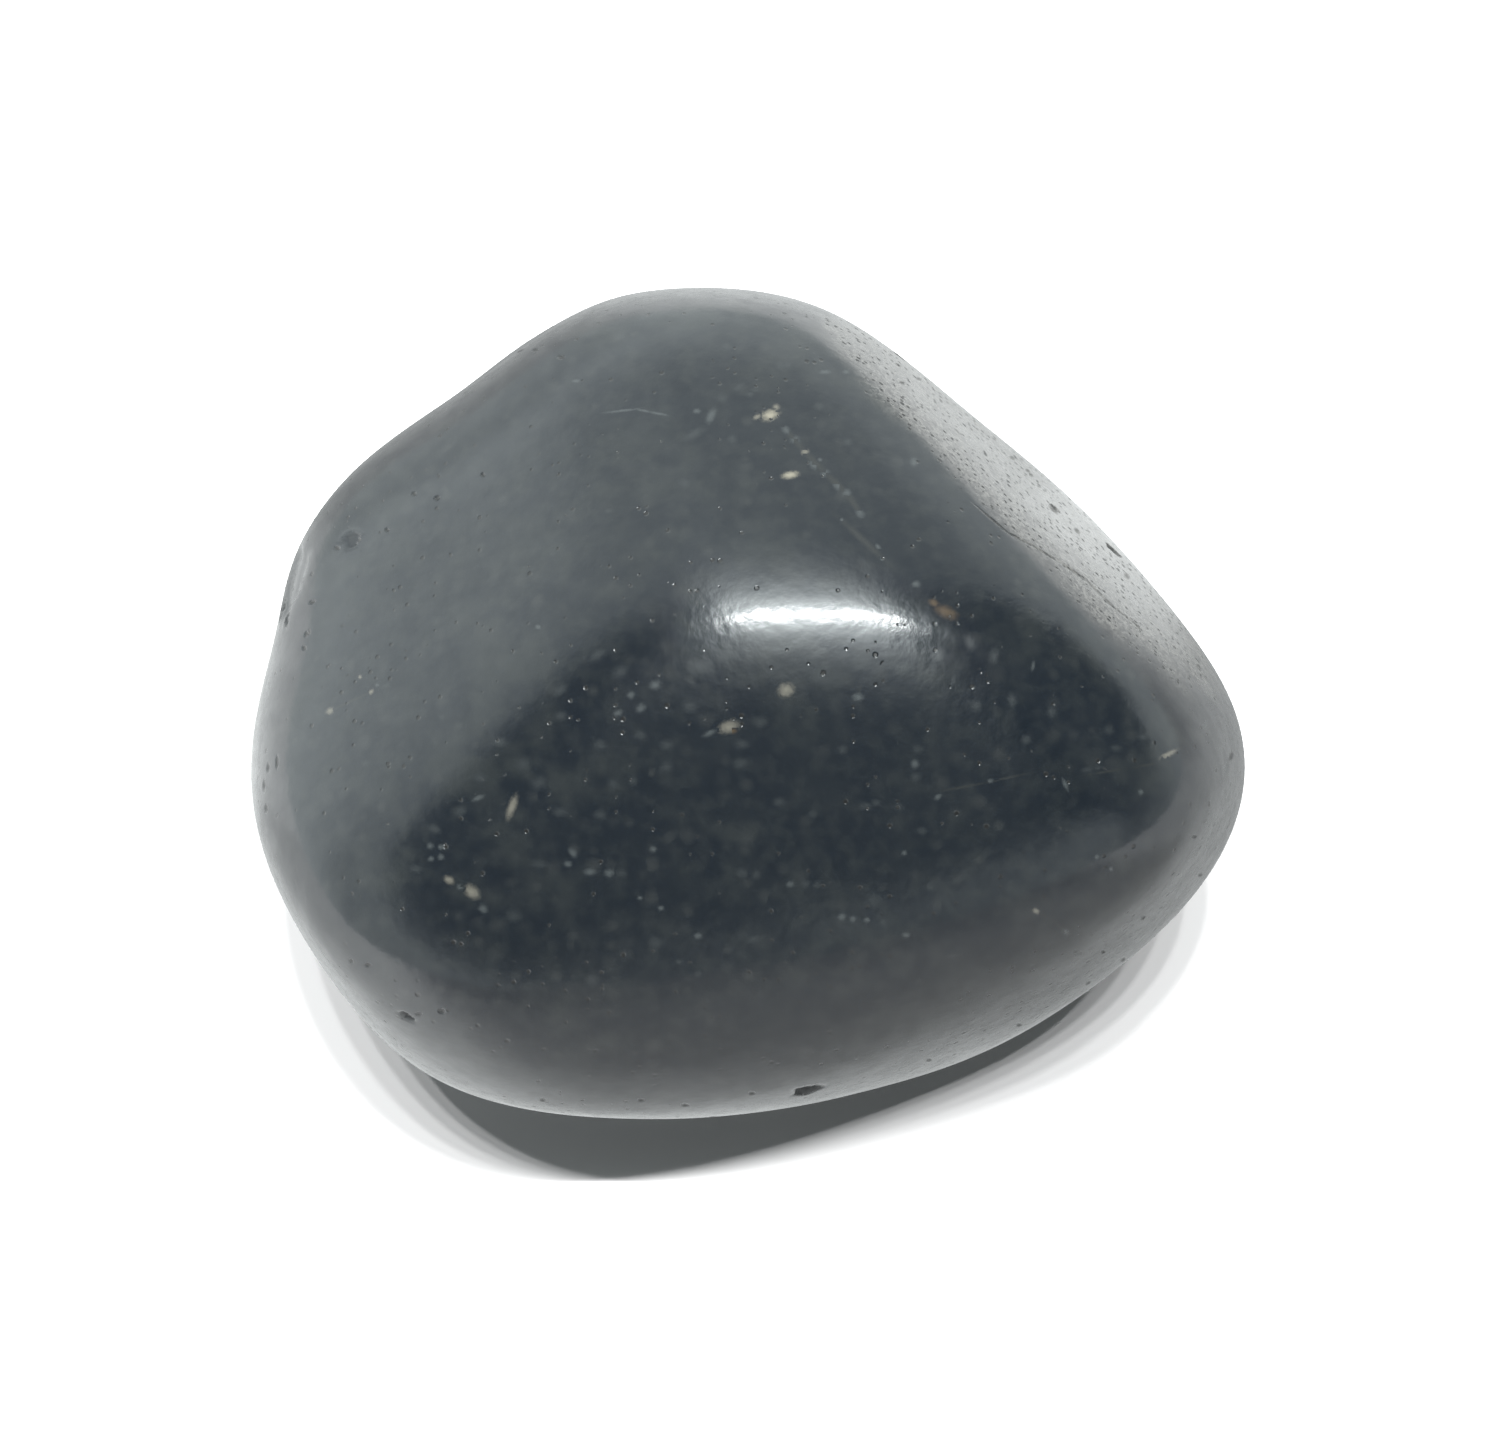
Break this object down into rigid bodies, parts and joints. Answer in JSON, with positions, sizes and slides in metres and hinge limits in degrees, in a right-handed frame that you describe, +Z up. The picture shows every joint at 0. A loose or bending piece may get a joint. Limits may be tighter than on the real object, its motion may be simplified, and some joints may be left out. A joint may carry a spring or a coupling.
{
  "type": "shungite stone",
  "caption": "Tumbled black shungite pebble: polished flats with soft ridges, open pits, a chipped edge and a flat to rest on.",
  "frame": {"origin": "bottom centre of the stone's box, on the surface that it rests on", "axes": "+X along the stone's longest extent towards its pointed end, +Y towards its back, +Z up from the rest flat"},
  "size_m": [0.0352, 0.0288, 0.0239],
  "materials": {
    "polished_shungite": "glossy tumbled black stone with fine open pores and small pale mineral specks"
  },
  "bodies": {
    "root": {"stone": "polished_shungite"}
  },
  "joints": []
}
